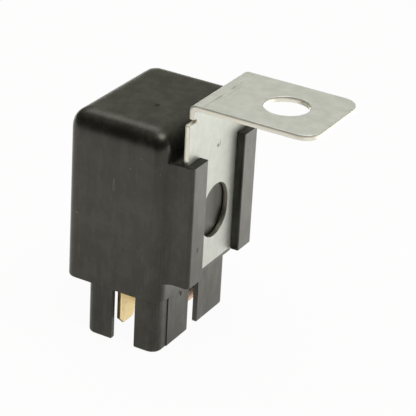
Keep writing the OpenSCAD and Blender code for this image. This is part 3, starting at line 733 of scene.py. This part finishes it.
def strap_rows(top):
    """The height where a strap of this top bends over, the run of its bend, and its way."""
    bend = top - blade_t - bend_r
    run, lay = folded(bend, bend_r, blade_t)
    return [bend + run * k / 6 for k in range(7)], bend + run, lay


low, high = box_mm("terminal_common")
middle = (low.y + high.y) / 2
rows, past, lay = strap_rows(high.z)
left, right = tip(middle, 0, 0, near=1.9, far=0.6)
reach = past + high.x - low.x - blade_t - bend_r
stamped("terminal_common", middle,
        [(reach, low.y, 0.4), (reach, high.y, 0.4), *left[1:], *right[:2]], [],
        lambda s, y, depth: put(low.x + lay(s, depth)[0], y, lay(s, depth)[1]), brass,
        "terminal", (rows, low.y, high.y))

for name in ("terminal_coil_a", "terminal_coil_b"):
    low, high = box_mm(name)
    step, tongue = 4.4, high.y - 1.1
    left, right = tip((low.y + high.y) / 2, step, high.z, near=0.6)
    stamped(name, (low.y + high.y) / 2,
            [*left, *right, (step, tongue, 0.2), (high.z, tongue, 0.3)], [],
            lambda s, y, depth: put(low.x + depth, y, s), bronze_with_painted_light, "coil_terminal")

low, high = box_mm("terminal_make")
spot = (box_mm("make_contact")[0] + box_mm("make_contact")[1]) / 2
rows, past, lay = strap_rows(high.z)
reach = past + high.y - low.y - blade_t - bend_r
pin = past + spot.y - low.y - blade_t - bend_r
strap_w, rivet_r, strap_low, strap_high = 5.2, 0.9, 6.0, 9.0
left, right = tip(high.x - blade_w / 2, strap_low, strap_high)
stamped("terminal_make", high.x - blade_w / 2,
        [*left, *right, (strap_low, low.x, 0.4), (reach, low.x, 0.8),
         (reach, low.x + strap_w, 0.8), (strap_high, low.x + strap_w, 0.3)],
        [circle(pin, spot.x, rivet_r)],
        lambda s, x, depth: put(x, low.y + lay(s, depth)[0], lay(s, depth)[1]), brass,
        "terminal", (rows, low.x, low.x + strap_w))

low, high = box_mm("terminal_break")
spot = (box_mm("break_contact")[0] + box_mm("break_contact")[1]) / 2
rows, past, lay = strap_rows(high.z)


def out_along(y):
    """How far along its flat strip the break strap reaches a place across the relay."""
    return past + y - low.y - blade_t - bend_r


thin_w, strap_low, strap_high, half = 1.8, 3.65, 4.75, strap_w / 2
left, right = tip(high.x - blade_w / 2, strap_low, strap_high)
stamped("terminal_break", high.x - blade_w / 2,
        [*left, *right, (strap_low, low.x, 0.3), (out_along(19.2), low.x, 0.5),
         (out_along(26.9), spot.x - half, 0.5), (out_along(high.y), spot.x - half, 0.8),
         (out_along(high.y), spot.x + half, 0.8), (out_along(25.5), spot.x + half, 0.5),
         (out_along(17.2), low.x + thin_w, 0.5), (strap_high, low.x + thin_w, 0.3)],
        [circle(out_along(spot.y), spot.x, rivet_r)],
        lambda s, x, depth: put(x, low.y + lay(s, depth)[0], lay(s, depth)[1]), brass,
        "terminal", (rows, low.x, low.x + thin_w))


# ---------------------------------------------------------------- contacts and arm
# Silver alloy rivets headed over in the straps and in a spring leaf of copper alloy. Two steel
# rivets hold the leaf on the armature. The silver is a little blackened where it arcs.

silver, place, _, shader = finish("silver_contact", metal=0.95)
haze = place.noise(0.5, 3, 0.6)
burn = place.noise(0.9, 2, 0.5).climb(0.55, 0.7)
coat_with(shader, haze, 0.01, Base_Color=(burn * 0.6).mix(
    haze.climb(0.3, 0.7).mix((0.70, 0.69, 0.66), (0.86, 0.85, 0.82)), (0.16, 0.14, 0.13)),
    Roughness=haze * 0.2 + burn * 0.3 + 0.22)
for name in ("make_contact", "break_contact", "moving_contact"):
    soften(name, silver, 0.15)
soften("contact_arm", strip_metal("leaf_copper", (0.62, 0.36, 0.19), (0.78, 0.48, 0.28),
                                  (0.40, 0.20, 0.11), 0.22, (0.14, 4.0, 4.0)), 0.06)
soften("arm_rivets", strip_metal("rivet_steel", (0.48, 0.47, 0.44), (0.66, 0.65, 0.61),
                                 (0.30, 0.28, 0.25), 0.26, (0.5, 0.5, 0.5)), 0.12)
soften("yoke_rivet", bpy.data.materials["rivet_steel"], 0.10)


# ---------------------------------------------------------------- magnet
# The yoke, core and armature are soft iron, blanked, bent and turned, then nickel plated. The
# armature rocks on the yoke's upper edge between two lugs.

iron = strip_metal("nickel_plated_iron", (0.42, 0.42, 0.40), (0.58, 0.58, 0.55),
                   (0.26, 0.23, 0.19), 0.30, (0.9, 0.9, 0.5), 0.85)
soften("yoke", iron, 0.14)
soften("armature", iron, 0.14)
soften("core", iron, 0.12)


# ---------------------------------------------------------------- coil
# A bobbin of natural glass-filled nylon with a hub and two cheeks. The wire is enamelled copper
# in even layers, under one turn of yellow polyester tape, and its ends go to the coil blades.

nylon, place, _, shader = finish("natural_nylon", ior=1.53)
milky = place.noise(4.0, 3, 0.6)
fibres = place.noise((0.9, 0.12, 0.12), 2, 0.6)
coat_with(shader, fibres + milky * 0.5, 0.008, Base_Color=(milky * 0.6 + fibres * 0.4).climb(
    0.35, 0.65).mix((0.62, 0.55, 0.42), (0.76, 0.70, 0.57)), Roughness=fibres * 0.2 + 0.34)
soften("bobbin", nylon, 0.2)

enamel, place, _, shader = finish("enamelled_copper", metal=0.75, coat=0.6)
shade = place.noise((6.0, 6.0, 0.3), 2, 0.6)
dust = place.noise(0.8, 2)
coat_with(shader, dust, 0.004, Base_Color=shade.climb(0.3, 0.7).mix(
    (0.42, 0.15, 0.055), (0.60, 0.25, 0.10)), Roughness=dust * 0.15 + 0.24)

low, high = box_mm("winding")
axis = (low + high) / 2
outside, hub, turns, sides = (high.x - low.x) / 2, 4.45, 72, 60
pitch = (high.z - low.z) / turns
profile_rows = [(hub, low.z), (outside - pitch, low.z)]
for turn in range(turns):
    for k in range(4):
        a = math.pi * (k + 0.5) / 4
        profile_rows.append((outside - pitch / 2 * (1 - math.sin(a)),
                             low.z + pitch * (turn + (1 - math.cos(a)) / 2)))
profile_rows += [(outside - pitch, high.z), (hub, high.z)]
body = bmesh.new()
rings = []
for radius, height in profile_rows:
    level = []
    for k in range(sides):
        a = math.radians(360 / sides * k)
        lead_in = 0 if height in (low.z, high.z) else pitch * (k / sides - 0.5) * 0.4
        z = min(high.z, max(low.z, height + lead_in))
        spot = put(axis.x + radius * math.cos(a), axis.y + radius * math.sin(a), z)
        level.append(body.verts.new(spot))
    rings.append(level)
for one, two in zip(rings, [*rings[1:], rings[0]]):
    for i in range(sides):
        body.faces.new([one[i - 1], one[i], two[i], two[i - 1]])
piece("winding_turns", body, [enamel], "relay", "winding", "winding")

tape, place, _, shader = finish("polyester_tape", ior=1.6, coat=0.5, coat_rough=0.12)
creased = place.noise((3.0, 3.0, 0.5), 3, 0.6)
lap = place.near((axis.x + 5.6, axis.y - 5.6, axis.z), (0.5, 0.5, 20.0), 0.3)
colour = creased.climb(0.3, 0.7).mix((0.52, 0.38, 0.05), (0.66, 0.50, 0.09))
coat_with(shader, creased + lap * 2, 0.02, Base_Color=(lap * 0.5).mix(colour, (0.40, 0.28, 0.03)),
          Roughness=creased * 0.2 + 0.22)
soften("coil_tape", tape, 0.08)


def smooth_route(points, steps):
    """A curve through the points, with the given steps in each gap."""
    route = []
    points = [Vector(p) for p in points]
    for i in range(len(points) - 1):
        a, b = points[max(0, i - 1)], points[i]
        c, d = points[i + 1], points[min(len(points) - 1, i + 2)]
        for k in range(steps):
            t = k / steps
            route.append(0.5 * (2 * b + (c - a) * t + (2 * a - 5 * b + 4 * c - d) * t * t
                                + (3 * b - a - 3 * c + d) * t ** 3))
    return route + [points[-1]]


def wire(body, route, radius, sides=10):
    """Adds a round wire along a route in mm to a bmesh, with flat ends."""
    ahead = (route[1] - route[0]).normalized()
    across = ahead.orthogonal().normalized()
    rings = []
    for i, here in enumerate(route):
        tangent = (route[min(i + 1, len(route) - 1)] - route[max(i - 1, 0)]).normalized()
        across = (across - tangent * across.dot(tangent)).normalized()
        up = tangent.cross(across)
        rings.append([body.verts.new(put(*(here + radius * (
            across * math.cos(a) + up * math.sin(a))))) for a in
            (math.tau * k / sides for k in range(sides))])
    for one, two in zip(rings, rings[1:]):
        for i in range(sides):
            body.faces.new([one[i - 1], one[i], two[i], two[i - 1]])
    body.faces.new(rings[0])
    body.faces.new(rings[-1])


for name, side in (("lead_a", -1), ("lead_b", 1)):
    low, high = box_mm(name)
    blade_low, blade_high = box_mm(name.replace("lead", "terminal_coil"))
    top, back = high.z - 0.16, high.y - 0.15
    route = [((blade_low.x + blade_high.x) / 2, back, top),
             ((blade_low.x + blade_high.x) / 2, back, top - 0.5),
             (axis.x + side * 2.6, back - 0.4, top - 0.88),
             (axis.x + side * 1.22, back - 0.58, top - 0.94)]
    body = bmesh.new()
    wire(body, smooth_route(route, 8), 0.13)
    piece(name + "_wire", body, [enamel], "relay", "winding", name)


# ---------------------------------------------------------------- resistor
# A small axial resistor across the coil, which damps its spike. It has a lacquered body with
# colour rings and tinned wires soldered to the two tongues.

lacquer, place, _, shader = finish("tan_lacquer", ior=1.55, coat=0.4)
low, high = box_mm("resistor")
mid_x = (low.x + high.x) / 2
x, _, _ = place.xyz()
grainy = place.noise(0.5, 3, 0.6)
colour = grainy.climb(0.3, 0.7).mix((0.46, 0.33, 0.19), (0.55, 0.41, 0.25))
for offset, band in ((-2.4, (0.15, 0.06, 0.02)), (-1.0, (0.02, 0.02, 0.02)),
                     (0.2, (0.45, 0.05, 0.02)), (2.4, (0.50, 0.33, 0.08))):
    stripe = 1 - abs(x - (mid_x + offset)).climb(0.25, 0.33)
    colour = stripe.mix(colour, band)
wire_end = abs(x - mid_x).climb(3.02, 3.08)
colour = wire_end.mix(colour, (0.56, 0.55, 0.52))
coat_with(shader, grainy, 0.01, Base_Color=colour, Metallic=wire_end * 0.8,
          Roughness=grainy * 0.15 + wire_end * 0.1 + 0.22)
soften("resistor", lacquer, 0.3)


# ---------------------------------------------------------------- return spring
# A close tension spring of 0.3 mm spring steel, hooked between the yoke's lanced tab and the
# armature's tail. It holds the armature open.

low, high = box_mm("return_spring")
coil_r, wire_r, coils, steps = 0.95, 0.14, 12, 30
mid = Vector((low.x + 1.09, (low.y + high.y) / 2, 0))
bottom, top = 23.7, 30.45
route = [Vector((mid.x, mid.y, low.z)), Vector((mid.x, mid.y, low.z + 0.5)),
         Vector((mid.x + 0.45, mid.y - 0.1, low.z + 1.0))]
for k in range(coils * steps + 1):
    a = math.tau * k / steps
    route.append(Vector((mid.x + coil_r * math.cos(a), mid.y + coil_r * math.sin(a),
                         bottom + (top - bottom) * k / (coils * steps))))
route += [Vector((mid.x + 0.45, mid.y + 0.1, high.z - 0.85)),
          Vector((mid.x, mid.y, high.z - 0.5)), Vector((mid.x, mid.y, high.z - 0.02))]
steel = strip_metal("spring_steel", (0.50, 0.50, 0.48), (0.68, 0.68, 0.66), (0.25, 0.22, 0.2),
                    0.22, (0.6, 0.6, 0.6))
body = bmesh.new()
wire(body, route, wire_r)
spring = piece("return_spring_wire", body, [steel], None, "spring", "return_spring")
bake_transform(spring)


# ---------------------------------------------------------------- pigtail
# A flat braid of fine bare copper that carries the current past the hinge. It is welded to the
# yoke at one end and to the leaf at the other, with a loose bow between.

copper = strip_metal("bare_copper", (0.62, 0.30, 0.17), (0.78, 0.42, 0.27), (0.36, 0.15, 0.08),
                     0.26, (0.3, 0.3, 0.3))
low, high = box_mm("pigtail")
tab_reach, bow_r, weld_long = 2.4, 1.7, 2.6
yoke_back = (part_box("yoke")[0] - corner).y / MM + tab_reach
bow_y, bow_z = yoke_back - 0.2, high.z - 2.1
end_z, foot_z = bow_z - 0.3, low.z + weld_long
back = yoke_back - 0.45
path = [Vector((y, z)) for y, z in ((bow_y + bow_r + 6, end_z), (bow_y + bow_r + 3.4, end_z),
                                    (bow_y + bow_r + 1.4, end_z + 0.15))]
path += [Vector((bow_y + bow_r * math.cos(a), bow_z + bow_r * math.sin(a)))
         for a in (math.radians(10 + 170 * k / 14) for k in range(15))]
path += [Vector((y, z)) for y, z in ((bow_y - bow_r, foot_z + 2), (bow_y - bow_r + 0.4, foot_z + 1),
                                     (back, foot_z), (back, foot_z - weld_long))]
spine = [Vector((0, p.x, p.y)) for p in path]
spine = smooth_route(spine, 5)
travel = [0.0]
for a, b in zip(spine, spine[1:]):
    travel.append(travel[-1] + (b - a).length)
body = bmesh.new()
strands, strand_r, twist = 12, 0.15, 7.0
width = high.x - low.x - 0.34
for strand in range(strands):
    route = []
    for i, here in enumerate(spine):
        ahead = (spine[min(i + 1, len(spine) - 1)] - spine[max(i - 1, 0)]).normalized()
        out = ahead.cross(Vector((1, 0, 0)))
        a = math.tau * (travel[i] / twist + strand / strands)
        weave = 0.17 * math.cos(3 * a) * (1 if strand % 2 else -1)
        route.append(here + Vector(((low.x + high.x) / 2 + width / 2 * math.cos(a), 0, 0))
                     + out * (0.15 * math.sin(a) + weave * 0.4))
    wire(body, route, strand_r, 6)
braid = piece("pigtail_braid", body, [copper], None, "braid", "pigtail")
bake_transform(braid)


# ---------------------------------------------------------------- setting
# The relay stands on its four feet on a plain white floor, in a pale room with a broad soft lamp
# above and a smaller one behind. Glossy surfaces see a graded sheen in the floor, as from cards.

floor_mesh = bpy.data.meshes.new("floor")
floor_mesh.from_pydata([(-4, -4, 0), (4, -4, 0), (4, 4, 0), (-4, 4, 0)], [], [(0, 1, 2, 3)])
floor = bpy.data.objects.new("floor", floor_mesh)
bpy.context.scene.collection.objects.link(floor)
white = bpy.data.materials.new("white_floor")
white.use_nodes = True
tree = white.node_tree
tree.nodes.clear()
seen, glossy, through = Sock(tree, None).node(
    "ShaderNodeLightPath", give=("Is Camera Ray", "Is Glossy Ray", "Is Transmission Ray"))
matt = seen.node("ShaderNodeBsdfDiffuse", None, Color=(0.8, 0.8, 0.8), give="BSDF")
_, gy, _ = seen.node("ShaderNodeTexCoord", give="Object").xyz()
sheen = gy.climb(-0.175, -0.130) * 1.38 - gy.climb(-0.10, -0.015) * 0.62 + 0.04
sheen = sheen + gy.climb(-0.025, 0.01) * 0.50 + gy.climb(0.0, 0.085) * 0.90
glow = seen.node("ShaderNodeEmission", None, Color=(1.0, 0.995, 0.955), Strength=sheen,
                 give="Emission")
paper = seen.node("ShaderNodeEmission", None, Color=(1.0, 1.0, 1.0), Strength=1.0, give="Emission")
below = seen.node("ShaderNodeNewGeometry", give="Backfacing")
clear = seen.node("ShaderNodeBsdfTransparent", None, give="BSDF")
lit = seen.node("ShaderNodeMixShader", None, glossy + through, matt, glow, give="Shader")
mixed = seen.node("ShaderNodeMixShader", None, seen * 0.95, lit, paper, give="Shader")
mixed = seen.node("ShaderNodeMixShader", None, below, mixed, clear, give="Shader")
mixed.node("ShaderNodeOutputMaterial", None, Surface=mixed, give=())
floor_mesh.materials.append(white)

world = bpy.data.worlds.new("room")
bpy.context.scene.world = world
world.use_nodes = True
tree = world.node_tree
tree.nodes.clear()
seen = Sock(tree, None).node("ShaderNodeLightPath", give="Is Camera Ray")
direction = seen.node("ShaderNodeTexCoord", give="Generated")
_, dy, dz = direction.xyz()
room = dy.climb(0.1, 0.7) * 0.27 + dz.climb(0.5, 0.95) * 0.30 + 0.11
strength = seen.math("MAXIMUM", seen, room)
tint = seen.mix((1.0, 0.98, 0.82), (1.0, 1.0, 1.0))
sky = seen.node("ShaderNodeBackground", None, tint, strength, give="Background")
sky.node("ShaderNodeOutputWorld", None, Surface=sky, give=())


def lamp(name, spot, aim, size, power):
    """A round soft lamp at a spot, turned to its aim."""
    light = bpy.data.lights.new(name, "AREA")
    light.shape = "DISK"
    light.size = size
    light.energy = power
    made = bpy.data.objects.new(name, light)
    made.location = spot
    made.rotation_euler = (Vector(aim) - Vector(spot)).to_track_quat("-Z", "Y").to_euler()
    bpy.context.scene.collection.objects.link(made)


lamp("overhead_softbox", (0.22, -0.05, 0.80), (0, 0, 0.03), 0.50, 3.3)
lamp("back_card", (-0.34, 0.27, 0.68), (0, 0, 0.05), 0.44, 0.78)

camera_data = bpy.data.cameras.new("camera")
camera = bpy.data.objects.new("camera", camera_data)
bpy.context.scene.collection.objects.link(camera)
right = Vector((0.861892, 0.504631, 0.049899))
down = Vector((0.268163, -0.370060, -0.889463))
ahead = Vector((-0.430385, 0.780002, -0.454275))
turned = Matrix((right, -down, -ahead)).transposed()
camera.matrix_world = Matrix.Translation((0.17655, -0.32288, 0.21858)) @ turned.to_4x4()
camera_data.sensor_width = 36
camera_data.lens = 160.79
camera_data.clip_start = 0.01
bpy.context.scene.camera = camera
bpy.context.scene.view_settings.view_transform = "Standard"
